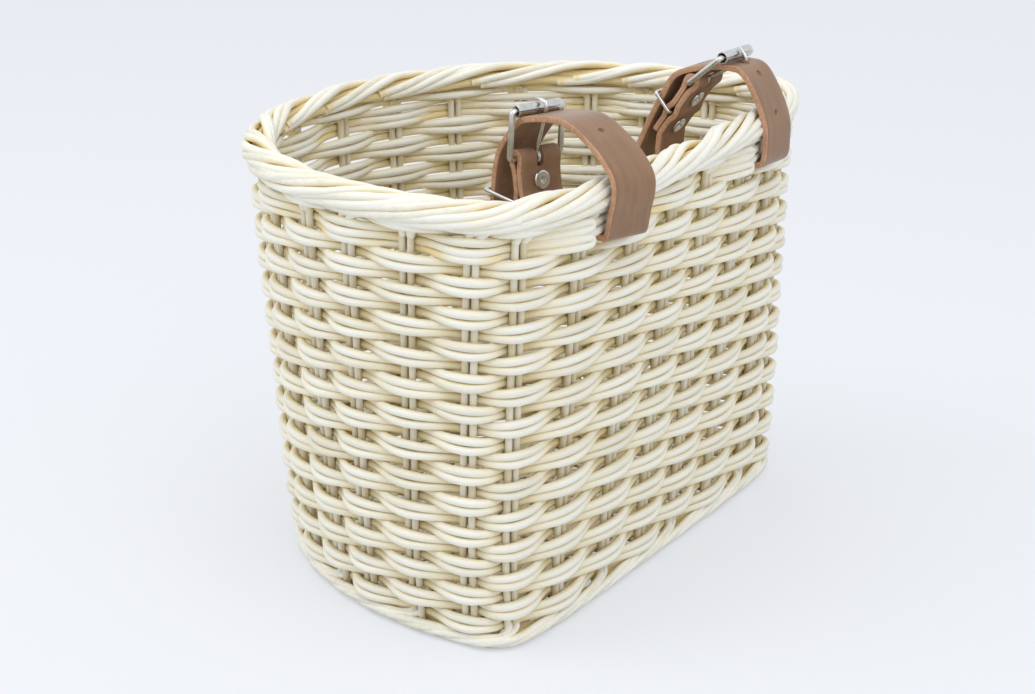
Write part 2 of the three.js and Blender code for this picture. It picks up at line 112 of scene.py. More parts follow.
class Value:
    """A number that changes over a surface, so that sums on it add the nodes they need."""

    def __init__(self, tree, socket):
        self.tree = tree
        self.socket = socket

    def sum(self, operation, *terms, clamp=False):
        node = self.tree.nodes.new("ShaderNodeMath")
        node.operation = operation
        node.use_clamp = clamp
        for place, term in zip(node.inputs, terms):
            if isinstance(term, Value):
                self.tree.links.new(term.socket, place)
            else:
                place.default_value = term
        return Value(self.tree, node.outputs[0])

    def __add__(self, other):
        return self.sum("ADD", self, other)

    __radd__ = __add__

    def __sub__(self, other):
        return self.sum("SUBTRACT", self, other)

    def __rsub__(self, other):
        return self.sum("SUBTRACT", other, self)

    def __mul__(self, other):
        return self.sum("MULTIPLY", self, other)

    def clamped(self):
        return self.sum("ADD", self, 0.0, clamp=True)

    def between(self, low, high):
        return self.sum("DIVIDE", self - low, high - low, clamp=True)


def usable(sockets, name):
    """The socket of this name that the node's present settings use."""
    return next(socket for socket in sockets if socket.name == name and not socket.is_unavailable)


class Finish:
    """A material whose nodes are made one at a time."""

    def __init__(self, name):
        self.material = bpy.data.materials.new(name)
        self.material.use_nodes = True
        self.tree = self.material.node_tree
        self.tree.nodes.clear()

    def node(self, kind, settings, inputs, output):
        node = self.tree.nodes.new(kind)
        for key, value in settings.items():
            if key == "stops":
                ramp = node.color_ramp
                while len(ramp.elements) < len(value):
                    ramp.elements.new(0.5)
                for element, (place, colour) in zip(ramp.elements, value):
                    element.position = place
                    element.color = (*colour, 1)
            else:
                setattr(node, key, value)
        for name, value in inputs.items():
            place = usable(node.inputs, name)
            if isinstance(value, Value):
                self.tree.links.new(value.socket, place)
            else:
                place.default_value = value
        return Value(self.tree, usable(node.outputs, output))

    def place(self):
        return self.node("ShaderNodeTexCoord", {}, {}, "Object")

    def along(self, scale, shift=(0, 0, 0)):
        """The piece's own map, in metres along and across, stretched and shifted."""
        flat = self.node("ShaderNodeUVMap", {"uv_map": "UVMap"}, {}, "UV")
        inputs = {"Vector": flat, "Scale": scale, "Location": shift}
        return self.node("ShaderNodeMapping", {}, inputs, "Vector")

    def noise(self, vector, scale, detail=2.0, roughness=0.5, distortion=0.0):
        sizes = {"Vector": vector, "Scale": scale, "Detail": detail, "Roughness": roughness}
        return self.node("ShaderNodeTexNoise", {}, {**sizes, "Distortion": distortion}, "Fac")

    def mix(self, share, first, second):
        inputs = {"Factor": share, "A": first, "B": second}
        return self.node("ShaderNodeMix", {"data_type": "RGBA"}, inputs, "Result")

    def ramp(self, value, stops):
        return self.node("ShaderNodeValToRGB", {"stops": stops}, {"Fac": value}, "Color")

    def bump(self, height, distance, strength):
        inputs = {"Height": height, "Distance": distance, "Strength": strength}
        return self.node("ShaderNodeBump", {}, inputs, "Normal")

    def surface(self, **values):
        named = {key.replace("_", " "): value for key, value in values.items()}
        shader = self.node("ShaderNodeBsdfPrincipled", {}, named, "BSDF")
        self.node_output(shader)
        return self.material

    def node_output(self, shader):
        output = self.tree.nodes.new("ShaderNodeOutputMaterial")
        self.tree.links.new(shader.socket, output.inputs["Surface"])


def peeled_cane(name, light, mid, dark, deep, warmth, grooves=0.0):
    """Peeled cane: fine fibres along it, a tone of its own for each cane, and painted shade in the weave's
    depths, tinted gold like light bounced between the canes.
    """
    finish = Finish(name)
    tone = finish.node("ShaderNodeAttribute", {"attribute_name": "tone"}, {}, "Fac")
    crevice = finish.node("ShaderNodeAttribute", {"attribute_name": "crevice"}, {}, "Fac")
    away = {"X": tone * 37, "Y": tone * 91, "Z": tone * 53}
    offset = finish.node("ShaderNodeCombineXYZ", {}, away, "Vector")
    fibre = finish.noise(finish.along((45, 2600, 1), offset), 1.0, 3.0, 0.6)
    patches = finish.noise(finish.place(), 34.0, 2.0, 0.5)
    stain = finish.noise(finish.along((9, 260, 1), offset), 1.0, 2.0, 0.55)
    shade = (fibre * 0.62 + patches * 0.34 + stain * 0.3 + tone * 0.34 - 0.4).clamped()
    body = finish.ramp(shade, [(0.1, dark), (0.4, mid), (0.76, light)])
    fleck = finish.noise(finish.along((170, 420, 1), (3, 7, 0)), 1.0, 1.0, 0.5).between(0.70, 0.80)
    aged = finish.mix(fleck * 0.5, body, (*warmth, 1))
    furrow = finish.noise(finish.along((3, 850, 1), offset), 1.0, 1.0, 0.4).between(0.42, 0.6)
    # depth mixes the crevice attribute, which is painted shade, with random stain and the stakes' dark
    # grooves; deep is the colour painted there.
    depth = (crevice * 1.1 + stain * 0.5 + (1 - furrow) * grooves - 0.3).clamped()
    colour = finish.mix(depth, aged, (*deep, 1))
    knots = finish.noise(finish.along((160, 900, 1)), 1.0, 2.0, 0.5)
    height = furrow * grooves * 3.0 + fibre * 0.7 + knots * 0.5
    rough = 0.44 + fibre * 0.2
    bump = finish.bump(height, 0.00014, 0.55)
    return finish.surface(Base_Color=colour, Roughness=rough, Normal=bump, Specular_IOR_Level=0.42)


def strap_face():
    """The strap's smooth side: dyed brown leather with fine pores and a soft shine."""
    finish = Finish("strap_leather")
    spot = finish.place()
    cloud = finish.noise(spot, 55.0, 3.0, 0.55)
    streak = finish.noise(finish.along((40, 300, 1)), 1.0, 2.0, 0.5)
    shade = (cloud * 0.3 + streak * 0.34 + 0.19).clamped()
    tones = [(0.25, (0.165, 0.086, 0.044)), (0.5, (0.25, 0.138, 0.073)), (0.78, (0.335, 0.197, 0.113))]
    colour = finish.ramp(shade, tones)
    pores = finish.node(
        "ShaderNodeTexVoronoi", {"feature": "DISTANCE_TO_EDGE"}, {"Vector": spot, "Scale": 1900.0}, "Distance"
    )
    grain = finish.noise(spot, 900.0, 3.0, 0.6)
    height = pores * 0.9 + grain * 0.6
    return finish.surface(
        Base_Color=colour,
        Roughness=0.26 + cloud * 0.18,
        Normal=finish.bump(height, 0.00006, 0.3),
        Specular_IOR_Level=0.42,
        Coat_Weight=0.12,
        Coat_Roughness=0.28,
    )


def strap_flesh():
    """The strap's rough side: a little lighter than the smooth one, napped and dull."""
    finish = Finish("strap_flesh")
    spot = finish.place()
    cloud = finish.noise(spot, 120.0, 4.0, 0.6)
    nap = finish.noise(spot, 1500.0, 3.0, 0.65)
    shade = (cloud * 0.7 + nap * 0.4 - 0.05).clamped()
    tones = [(0.2, (0.2, 0.11, 0.064)), (0.55, (0.32, 0.185, 0.108)), (0.85, (0.42, 0.265, 0.17))]
    colour = finish.ramp(shade, tones)
    bump = finish.bump(nap, 0.00015, 0.5)
    return finish.surface(Base_Color=colour, Roughness=0.62 + nap * 0.2, Normal=bump, Specular_IOR_Level=0.35)


def strap_edge():
    """The strap's cut edge: raw tan fibres."""
    finish = Finish("strap_edge")
    spot = finish.place()
    fibres = finish.noise(spot, 700.0, 4.0, 0.65, 0.4)
    patches = finish.noise(spot, 90.0, 2.0, 0.5)
    shade = (fibres * 0.7 + patches * 0.45 - 0.1).clamped()
    tones = [(0.2, (0.28, 0.14, 0.08)), (0.5, (0.5, 0.285, 0.17)), (0.8, (0.66, 0.43, 0.28))]
    colour = finish.ramp(shade, tones)
    bump = finish.bump(fibres, 0.0003, 0.8)
    return finish.surface(Base_Color=colour, Roughness=0.82, Normal=bump, Specular_IOR_Level=0.25)


def plated(name):
    """Nickel plate: bright, with fine rub marks and dull patches."""
    finish = Finish(name)
    spot = finish.place()
    dull = finish.noise(spot, 160.0, 3.0, 0.6)
    rubs = finish.noise(spot, 2600.0, 2.0, 0.5)
    colour = finish.ramp(dull, [(0.3, (0.56, 0.56, 0.54)), (0.65, (0.72, 0.72, 0.69))])
    bump = finish.bump(rubs, 0.00002, 0.35)
    return finish.surface(Base_Color=colour, Metallic=1.0, Roughness=0.13 + dull * 0.22, Normal=bump)


# deep is the colour of the painted shade in the weave's depths, warm like light bounced between the canes.
CANE_TONES = {
    "light": (0.855, 0.845, 0.78),
    "mid": (0.825, 0.805, 0.715),
    "dark": (0.72, 0.68, 0.55),
    "deep": (0.82, 0.68, 0.37),
    "warmth": (0.48, 0.34, 0.16),
}
cane = peeled_cane("peeled_cane", **CANE_TONES)
stake_cane = peeled_cane("fluted_cane", **{**CANE_TONES, "deep": (0.6, 0.5, 0.3)}, grooves=0.45)
base_cane = peeled_cane(
    "base_cane",
    light=(0.84, 0.77, 0.62),
    mid=(0.76, 0.67, 0.49),
    dark=(0.62, 0.5, 0.32),
    deep=(0.44, 0.33, 0.17),
    warmth=(0.4, 0.26, 0.12),
)
leather = strap_face()
flesh = strap_flesh()
raw_edge = strap_edge()
nickel = plated("nickel_plate")


def lengths_along(line):
    """How far along a polyline each of its points is."""
    lengths = [0.0]
    for before, after in zip(line, line[1:]):
        lengths.append(lengths[-1] + (after - before).length)
    return lengths


def point_at(line, lengths, way):
    """The point of a polyline that lies this far along it."""
    i = min(max(bisect.bisect_left(lengths, way), 1), len(lengths) - 1)
    part = (way - lengths[i - 1]) / max(lengths[i] - lengths[i - 1], 1e-9)
    return line[i - 1].lerp(line[i], min(max(part, 0), 1))


def evenly(line, count):
    """The same polyline, cut into this many equal lengths."""
    lengths = lengths_along(line)
    return [point_at(line, lengths, lengths[-1] * k / count) for k in range(count + 1)]


class Plan:
    """The wall's centre line seen from above, as half of it from the back's centre to the front's."""

    def __init__(self, width, depth, corner_power, shoulder, front_power):
        half = width / 2
        widest = depth / 2 - shoulder
        angles = [i / 180 * math.pi / 2 for i in range(181)]
        turns = [(math.sin(angle), abs(math.cos(angle))) for angle in angles]
        back = 2 / corner_power
        front = 2 / front_power
        self.points = [Vector((half * s**back, widest + shoulder * c**back)) for s, c in turns]
        rest = depth - shoulder
        self.points += [Vector((half * c**front, widest - rest * s**front)) for s, c in turns[1:]]
        self.lengths = lengths_along(self.points)
        self.length = 2 * self.lengths[-1]

    def at(self, share):
        turn = share % 1
        point = point_at(self.points, self.lengths, min(turn, 1 - turn) * self.length)
        return Vector((-point.x, point.y)) if turn > 0.5 else point


# The wall at the foot and at the top of the weave, its lean, and its belly's height and swelling.
FOOT_WIDTH = 297
floor_plan = Plan(FOOT_WIDTH, 189, 5.5, 23, 1.8)
top_plan = Plan(322, 215, 3.3, 48, 2.15)
BACK_LEAN = 3
BELLY_HEIGHT = 45
BELLY_SWELL = 7.5 / FOOT_WIDTH


def wall_centre(share, height):
    rise = height / WEAVE_TOP
    point = floor_plan.at(share).lerp(top_plan.at(share), rise)
    if height < BELLY_HEIGHT:
        belly = height / BELLY_HEIGHT
    else:
        belly = (WEAVE_TOP - height) / (WEAVE_TOP - BELLY_HEIGHT)
    point.x *= 1 + BELLY_SWELL * max(0, belly)
    point.y += BACK_LEAN * rise + BACK_SHIFT
    return point


def wall_length(height):
    return floor_plan.length + (top_plan.length - floor_plan.length) * height / WEAVE_TOP


def wall_point(share, height, out, level=None):
    """A point beside the wall: out is positive outwards, and level is its own height if not the wall's."""
    step = 0.004
    along = (wall_centre(share + step, height) - wall_centre(share - step, height)).normalized()
    point = wall_centre(share, height) + Vector((-along.y, along.x)) * out
    return Vector((point.x, point.y, height if level is None else level))


def stake_share(turn, height):
    """The place round the wall that lies a part of the way from one stake to the next."""
    i = math.floor(turn)
    ends = []
    for k in (i, i + 1):
        place = STAKES[k % len(STAKES)] + k // len(STAKES)
        ends.append(place + STAKE_SPREAD * math.sin(2 * math.pi * place) * (1 - height / WEAVE_TOP))
    return ends[0] + (ends[1] - ends[0]) * (turn - i)


def smooth_line(points, count):
    """Evenly spaced points on a smooth curve through the given ones."""
    dense = []
    whole = [2 * points[0] - points[1], *points, 2 * points[-1] - points[-2]]
    for a, b, c, d in zip(whole, whole[1:], whole[2:], whole[3:]):
        knots = [0.0]
        for before, after in ((a, b), (b, c), (c, d)):
            knots.append(knots[-1] + max((after - before).length ** 0.5, 1e-4))
        span = knots[2] - knots[1]
        first = ((b - a) / knots[1] - (c - a) / knots[2] + (c - b) / span) * span
        last = ((c - b) / span - (d - b) / (knots[3] - knots[1]) + (d - c) / (knots[3] - knots[2])) * span
        for k in range(20):
            t = k / 20
            dense.append(
                (2 * t**3 - 3 * t**2 + 1) * b
                + (t**3 - 2 * t**2 + t) * first
                + (3 * t**2 - 2 * t**3) * c
                + (t**3 - t**2) * last
            )
    dense.append(points[-1])
    return evenly(dense, count)


class Bundle:
    """Round canes or wires gathered into one mesh, with a map in metres along and round each."""

    def __init__(self, seed):
        self.mesh = bmesh.new()
        self.map = self.mesh.loops.layers.uv.new("UVMap")
        self.tone = self.mesh.verts.layers.float.new("tone")
        self.crevice = self.mesh.verts.layers.float.new("crevice")
        self.chance = random.Random(seed)

    def strand(self, points, diameter, closed=False, sides=8, widths=None, hidden=None):
        """Adds a cane. Hidden tells a spot's depth in the weave by its point's number and its side, which the
        material paints as shade; at a cut end it gives the pith's darker colour instead.
        """
        line = bpy.data.curves.new("line", "CURVE")
        line.dimensions = "3D"
        line.bevel_depth = diameter / 2 * MM
        line.bevel_resolution = (sides - 4) // 2
        line.use_fill_caps = not closed
        spline = line.splines.new("POLY")
        spline.points.add(len(points) - 1)
        for i, (place, point) in enumerate(zip(spline.points, points)):
            place.co = (*(point * MM), 1)
            place.radius = widths[i] if widths else 1
        spline.use_cyclic_u = closed
        holder = bpy.data.objects.new("line", line)
        made = bpy.data.meshes.new_from_object(holder)
        first_vert = len(self.mesh.verts)
        first_face = len(self.mesh.faces)
        self.mesh.from_mesh(made)
        self.mesh.verts.ensure_lookup_table()
        self.mesh.faces.ensure_lookup_table()
        length = sum((b - a).length for a, b in zip(points, points[1:])) * MM
        girth = math.pi * diameter * MM
        own = self.chance.random()
        fresh = self.mesh.verts[first_vert:]
        ring = len(fresh) // (len(points) if closed else len(points) + 2)
        for j, vert in enumerate(fresh):
            vert[self.tone] = own
            if hidden:
                # The rings of the two end caps come after all others.
                i = j // ring
                if i >= len(points):
                    i = 0 if i == len(points) else len(points) - 1
                side = vert.co / MM - points[i]
                vert[self.crevice] = min(max(hidden(i, side / (diameter / 2)), 0), 1)
        for face in self.mesh.faces[first_face:]:
            for loop in face.loops:
                place = loop[self.map].uv
                loop[self.map].uv = (place.y * length, place.x * girth)
        bpy.data.objects.remove(holder)
        bpy.data.curves.remove(line)
        bpy.data.meshes.remove(made)

    def piece(self, name, finish, nodes, slot="rattan"):
        settle(self.mesh, name, finish, "basket", nodes)


def placed(name, data):
    """An object of the scene with this data."""
    made = bpy.data.objects.new(name, data)
    bpy.context.scene.collection.objects.link(made)
    return made


def solid(mesh, name, *finishes):
    """Turns a finished bmesh into an object."""
    data = bpy.data.meshes.new(name)
    mesh.to_mesh(data)
    mesh.free()
    for finish in finishes:
        data.materials.append(finish)
    return placed(name, data)


def settle(mesh, name, finish, body, nodes, sharp=60):
    """Turns a finished bmesh into a piece of the part."""
    made = solid(mesh, name, finish)
    made.data.shade_smooth()
    made.data.set_sharp_from_angle(angle=math.radians(sharp))
    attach(made, body)
    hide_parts(*nodes)


def wander(chance, size, turns):
    """A slow, closed drift round the basket."""
    waves = []
    for turn in turns:
        high = chance.uniform(0.4, 1) * size / len(turns)
        waves.append((high, turn, chance.uniform(0, 2 * math.pi)))

    def drift(share):
        return sum(high * math.sin(2 * math.pi * turn * share + start) for high, turn, start in waves)

    return drift


def row_line(row, height, lift, chance, first=0, last=len(STAKES), swing=ROW_SWING):
    """One cane of a row, in front of one stake and behind the next, with how far out each point is."""
    count = len(STAKES)
    closed = last - first == count
    push = [chance.uniform(-0.3, 0.35) for _ in range(count)]
    drift = wander(chance, 0.32, (3, 7, 11))
    points = []
    waves = []
    steps = round((last - first) * ROW_STEPS)
    for step in range(steps if closed else steps + 1):
        turn = first + (last - first) * step / steps
        i = math.floor(turn)
        part = turn - i
        side = 1 if (i + row) % 2 == 0 else -1
        bend = math.cos(math.pi * part)
        wave = side * bend * (1.1 - 0.1 * bend * bend)
        ease = (1 - math.cos(math.pi * part)) / 2
        out = wave * swing + push[i % count] * (1 - ease) + push[(i + 1) % count] * ease
        share = stake_share(turn, height)
        spread = 1 + 0.26 * wave * wave
        points.append(wall_point(share, height, out, height + lift * spread + drift(share)))
        waves.append(wave)
    return points, waves


def row_strand(bundle, line, diameter, closed, chance):
    """Adds a row's cane, fullest where it passes a stake."""
    points, waves = line
    swell = wander(chance, 0.05, (5, 9, 14))
    widths = [0.87 + 0.13 * wave * wave + swell(i / len(points)) for i, wave in enumerate(waves)]
    count = len(points)

    def near(j):
        return points[j % count if closed else min(max(j, 0), count - 1)]

    # Painted shade: the cane's side that faces into the weave (inwards where it passes in front of a stake,
    # outwards where it passes behind one) and its top and bottom, where it meets the rows beside it, are
    # darkened towards the crevice colour.
    def hidden(i, side):
        along = (near(i + ROW_STEPS) - near(i - ROW_STEPS)).normalized()
        outward = Vector((-along.y, along.x))
        shown = waves[i] * side.xy.dot(outward)
        return 0.36 * max(1 - shown, 0) ** 1.5 + 0.4 * abs(side.z) ** 5

    bundle.strand(points, diameter, closed=closed, widths=widths, hidden=hidden)


def weave_rows():
    """The wall's rows, of two canes each."""
    for row in range(ROW_COUNT):
        chance = random.Random(100 + row)
        bundle = Bundle(300 + row)
        height = FIRST_ROW + row * ROW_PITCH
        for lift in (-ROW_ASIDE, ROW_ASIDE):
            line = row_line(row, height, lift, chance)
            row_strand(bundle, line, CANE * chance.uniform(0.96, 1.04), True, chance)
        bundle.piece(f"cane_row_{row + 1:02d}", cane, [f"weave_row_{row + 1:02d}"])


# How far the highest and lowest top rows lie from the wale, and from which stake to which the lowest
# runs.
TOP_PITCH = 5.6
LOWEST_RUNS = [(2.02, 20.98), (22.02, 24.98)]


def top_rows():
    """Four canes under the border. The lowest stops on each side of a strap."""
    chance = random.Random(77)
    bundle = Bundle(78)
    for lift in (-1.6, 2.1):
        line = row_line(ROW_COUNT, WALE_HEIGHT - 0.1, lift, chance)
        row_strand(bundle, line, CANE * 0.96, True, chance)
    line = row_line(ROW_COUNT + 1, WALE_HEIGHT + TOP_PITCH, 0, chance, swing=TOP_SWING)
    row_strand(bundle, line, CANE * 0.9, True, chance)
    for first, last in LOWEST_RUNS:
        line = row_line(ROW_COUNT, WALE_HEIGHT - TOP_PITCH, 0, chance, first, last)
        row_strand(bundle, line, CANE * 0.93, False, chance)
    bundle.piece("cane_top_rows", cane, ["top_wale"])


RIM_NODES = [f"{side}_stakes_and_rim" for side in ("left", "front", "right", "back")]


def stakes():
    """Pairs of stakes from the foot up into the border, none quite straight."""
    bundle = Bundle(501)
    chance = random.Random(502)
    for k in range(len(STAKES)):
        for side in (-1, 1):
            points = []
            lean = chance.uniform(-0.25, 0.25)
            for step in range(13):
                height = STAKE_FOOT + (STAKE_TOP - STAKE_FOOT) * step / 12
                wall = min(height, WEAVE_TOP)
                aside = side * (STAKE_ASIDE + 0.1 * math.sin(step * 1.7 + k)) + lean * (step / 6 - 1)
                share = stake_share(k, wall) + aside / wall_length(wall)
                points.append(wall_point(share, wall, chance.uniform(-0.12, 0.12), height))
            bundle.strand(points, STAKE_CANE * chance.uniform(0.95, 1.03), hidden=lambda i, side: 0.3)
    bundle.piece("side_stakes", stake_cane, RIM_NODES)


# How a pair of canes goes round the border: the way along in stakes, the angle round it, and how
# far it stands out from the roll. Then the roll's radius, and how far its pairs' two spread round it.
RIM_TURNS = [
    (0.34, -58, -2.0), (0.75, -44, -0.9), (1.2, -27, -0.1), (1.7, -7, 0.3), (2.2, 16, 0.5),
    (2.65, 42, 0.7), (3.05, 72, 0.8), (3.4, 104, 0.5), (3.8, 140, -0.3), (4.25, 176, -1.2),
    (4.65, 206, -2.4),
]
RIM_REACH = 6.2
RIM_SPREAD = 15.5


def roll_strand(bundle, controls, centres, count, diameter, sides=8):
    """A cane that winds round a roll, with painted shade on what faces its middle or a neighbour."""
    points = smooth_line(controls, count)
    ways = []
    for i, point in enumerate(points):
        weights = [1 / ((point - control).length_squared + 0.5) for control in controls]
        middle = sum((c * w for c, w in zip(centres, weights)), Vector((0, 0, 0))) / sum(weights)
        forward = (points[min(i + 1, count)] - points[max(i - 1, 0)]).normalized()
        ray = point - middle
        ways.append((ray - forward * ray.dot(forward)).normalized())

    # Painted shade: the side that faces the roll's middle is darkened towards the crevice colour.
    def hidden(i, side):
        return (0.62 - side.dot(ways[i])) / 0.95

    bundle.strand(points, diameter, sides=sides, hidden=hidden)


# Cut ends that show on the border: the place of the end in stakes, its angle, and its length.
RIM_SPLICES = [(3.15, 4, 1.3), (4.75, 62, 1.4), (7.4, 20, 1.3)]
RIM_SPLICES += [(11.2, 48, 1.3), (16.6, 12, 1.4), (19.4, 55, 1.3)]

# How a cane turns back at a strap: the way from the stake, in stakes, its rise as a share of the
# pitch, and how far out it is. Then the pitch, the stakes with the cane's side, and the low heights.
TURN_PATH = [(0.95, 0, -3.6), (0.72, 0, -1.8), (0.5, 0, 1), (0.3, 0, 3.4), (0.12, 0, 4.8), (0.02, 0.16, 5.2)]
TURN_PATH += [(0, 0.5, 5.1), *[(away, 1 - rise, out) for away, rise, out in reversed(TURN_PATH)]]
TURN_PITCH = 3.7
TURN_STAKES = [(1.96, 1), (22.0, 1), (20.98, -1)]
TURN_HEIGHTS = [188.6, 196.2]


def rim_point(turn, reach, degrees):
    """A point beside the border's middle line, at an angle round it: 0 is outwards and 90 is up."""
    angle = math.radians(degrees)
    share = stake_share(turn, WEAVE_TOP)
    return wall_point(share, WEAVE_TOP, reach * math.cos(angle), RIM_CENTRE + reach * math.sin(angle))


def rim_pairs(bundle, chance):
    """Each stake's two canes, bent over and wound round the roll."""
    for k in range(len(STAKES)):
        pull = chance.uniform(0.93, 1.08)
        lift = chance.uniform(-0.4, 0.4)
        for side in (-1, 1):
            share = stake_share(k, WEAVE_TOP) + side * BORDER_ASIDE / wall_length(WEAVE_TOP)
            points = [wall_point(share, WEAVE_TOP, -0.5, 196.5)]
            points.append(wall_point(share - 0.0015, WEAVE_TOP, 1.5, 200.0 + side * 0.8))
            centres = [wall_point(share, WEAVE_TOP, -4, 199), wall_point(share, WEAVE_TOP, -2, 203)]
            stretch = pull * chance.uniform(0.97, 1.03)
            loose = lift + chance.uniform(-0.35, 0.25)
            for along, angle, out in RIM_TURNS:
                turn = k - along * stretch
                degrees = angle + side * RIM_SPREAD * min(1, along) + chance.uniform(-3.5, 3.5)
                points.append(rim_point(turn, RIM_REACH + out + loose, degrees))
                centres.append(rim_point(turn, 0, 0))
            roll_strand(bundle, points, centres, 64, RIM_CANE * chance.uniform(0.93, 1.05), 10)


def splice_end(i, side):
    """How deep a cut end looks: most on its pith, then less and less along the cane."""
    return 0.9 if i == 0 and side.length < 0.4 else 0.1 * max(1 - i / 6, 0)


def turn_back(bundle, turn, side, low):
    """A cane that reaches a strap's gap, bends round a stake and goes back one cane higher."""
    points = []
    for away, rise, out in TURN_PATH:
        share = stake_share(turn + side * away, WEAVE_TOP)
        points.append(wall_point(share, WEAVE_TOP, out, low + TURN_PITCH * rise))
    # Painted shade: the cane is darkened towards its ends, where it goes into the weave.
    bundle.strand(smooth_line(points, 60), CANE * 0.8, hidden=lambda i, way: 0.35 * min(abs(i - 30) / 22, 1))


def rolled_border():
    """The pairs round two canes that fill the roll, with cut ends and turned canes."""
    bundle = Bundle(601)
    rim_pairs(bundle, random.Random(602))
    for wide, high in ((1.6, 1.4), (-2.0, -1.2)):
        ring = []
        for i in range(160):
            level = RIM_CENTRE + high + 0.5 * math.sin(i * 0.9)
            ring.append(wall_point(i / 160, WEAVE_TOP, wide, level))
        # Painted shade: the filling canes sit inside the roll and take the full crevice colour where they
        # show between the pairs.
        bundle.strand(ring, RIM_FILLING, closed=True, hidden=lambda i, side: 1)
    for turn, angle, length in RIM_SPLICES:
        points = []
        for way in (0, 0.3, 0.65, 1):
            points.append(rim_point(turn + length * way, 6.5 - 2.6 * way * way, angle - 26 * way))
        bundle.strand(smooth_line(points, 18), RIM_CANE * 0.93, hidden=splice_end)
    for turn, side in TURN_STAKES:
        for low in TURN_HEIGHTS:
            turn_back(bundle, turn, side, low)
    bundle.piece("rolled_border", cane, RIM_NODES)


# The same for the foot's roll, which is wider than high, and flat where the basket stands on it.
FOOT_TURNS = [
    (0.3, 52, 0.0), (0.7, 22, 0.1), (1.1, -6, 0.1), (1.6, -42, 0), (2.1, -84, 0), (2.6, -128, -0.2),
    (3.0, -165, -0.6),
]
FOOT_CENTRE = 4.35
FOOT_REACH = 4.6
FOOT_RISE = 2.3
FOOT_LOWEST = 1.95
FOOT_SPREAD = 27


def foot_border():
    bundle = Bundle(701)
    chance = random.Random(702)
    for k in range(len(STAKES)):
        for side in (-1, 1):
            share = stake_share(k, 0) + side * BORDER_ASIDE / wall_length(0)
            points = [wall_point(share, 0, 0, 11.5), wall_point(share + 0.001, 0, 1.2, 9.0)]
            centres = [wall_point(share, 0, -4, 11), wall_point(share, 0, -2, 7)]
            for along, angle, out in FOOT_TURNS:
                round_it = math.radians(angle + side * FOOT_SPREAD * min(1, along) + chance.uniform(-3, 3))
                wide = (FOOT_REACH + out) * math.cos(round_it)
                high = max(FOOT_CENTRE + (FOOT_RISE + out) * math.sin(round_it), FOOT_LOWEST)
                spot = stake_share(k + along, 0)
                points.append(wall_point(spot, 0, wide, high))
                centres.append(wall_point(spot, 0, 0, FOOT_CENTRE))
            roll_strand(bundle, points, centres, 44, FOOT_CANE * chance.uniform(0.94, 1.02))
    bundle.piece("foot_roll", cane, ["foot_border"])


# The floor's distance from the wall, its sticks, its bands of canes, and its heights.
FLOOR_INSET = 6.4
FLOOR_STICK_PITCH = 21.5
FLOOR_BANDS = 26
FLOOR_BAND_PITCH = 7.5
FLOOR_CANE_PITCH = 2.5
FLOOR_MIDDLE = 4.1
FLOOR_RISE = 2.15


def crossings(outline, axis, value):
    """Where a closed outline crosses a line of one coordinate: the least and the greatest of the other."""
    found = []
    for a, b in zip(outline, outline[1:] + outline[:1]):
        if (a[axis] - value) * (b[axis] - value) < 0:
            part = (value - a[axis]) / (b[axis] - a[axis])
            found.append(a.lerp(b, part)[1 - axis])
    return min(found), max(found)


def outline_holds(outline, y):
    """Whether a line at this y has some length inside the outline."""
    return min(point.y for point in outline) + 1 < y < max(point.y for point in outline) - 1


def woven_floor():
    """Pairs of sticks from front to back, and bands of three thin canes over and under them."""
    bundle = Bundle(801)
    chance = random.Random(802)
    outline = [wall_point(i / 360, 0, -FLOOR_INSET).xy for i in range(360)]
    for k in range(-6, 7):
        for side in (-1, 1):
            x = k * FLOOR_STICK_PITCH + side * 1.5
            front, back = crossings(outline, 0, x)
            sway = chance.uniform(-0.3, 0.3)
            line = []
            for i in range(17):
                y = front + (back - front) * i / 16
                line.append(Vector((x + sway * math.sin(i / 3), y, FLOOR_MIDDLE)))
            bundle.strand(line, FLOOR_CANE, hidden=lambda i, side: 0.35)
    for band in range(FLOOR_BANDS):
        for number in (-1, 0, 1):
            y = (band - (FLOOR_BANDS - 1) / 2) * FLOOR_BAND_PITCH + number * FLOOR_CANE_PITCH + BACK_SHIFT
            if not outline_holds(outline, y):
                continue
            left, right = crossings(outline, 1, y)
            steps = max(8, round((right - left) / 2.7))
            points = []
            for step in range(steps + 1):
                x = left + (right - left) * step / steps
                swing = math.cos(math.pi * x / FLOOR_STICK_PITCH) * (1 if band % 2 else -1)
                rise = FLOOR_RISE * swing * (1.25 - 0.25 * swing * swing)
                sway = 0.12 * math.sin(x * 0.07 + band * 2 + number)
                points.append(Vector((x, y + sway, FLOOR_MIDDLE + rise)))
            bundle.strand(points, FLOOR_CANE * chance.uniform(0.96, 1.03), sides=6)
    bundle.piece("woven_floor", base_cane, ["base_weave"], "rattan_base")


def turned(vector, degrees):
    cos = math.cos(math.radians(degrees))
    sin = math.sin(math.radians(degrees))
    return Vector((vector.x * cos - vector.y * sin, vector.x * sin + vector.y * cos))


def flat(*pairs):
    return [Vector(pair) for pair in pairs]


# On the straps' drawings: the wall's faces under the rim, the loops' height, and a free length's parts.
RIM_INNER = -8.5
RIM_OUTER = 8.8
LOOP_TOP = 26.1
FREE_STEPS = 200


def between_stakes(part):
    return STAKES[1] + part * (STAKES[2] - STAKES[1])


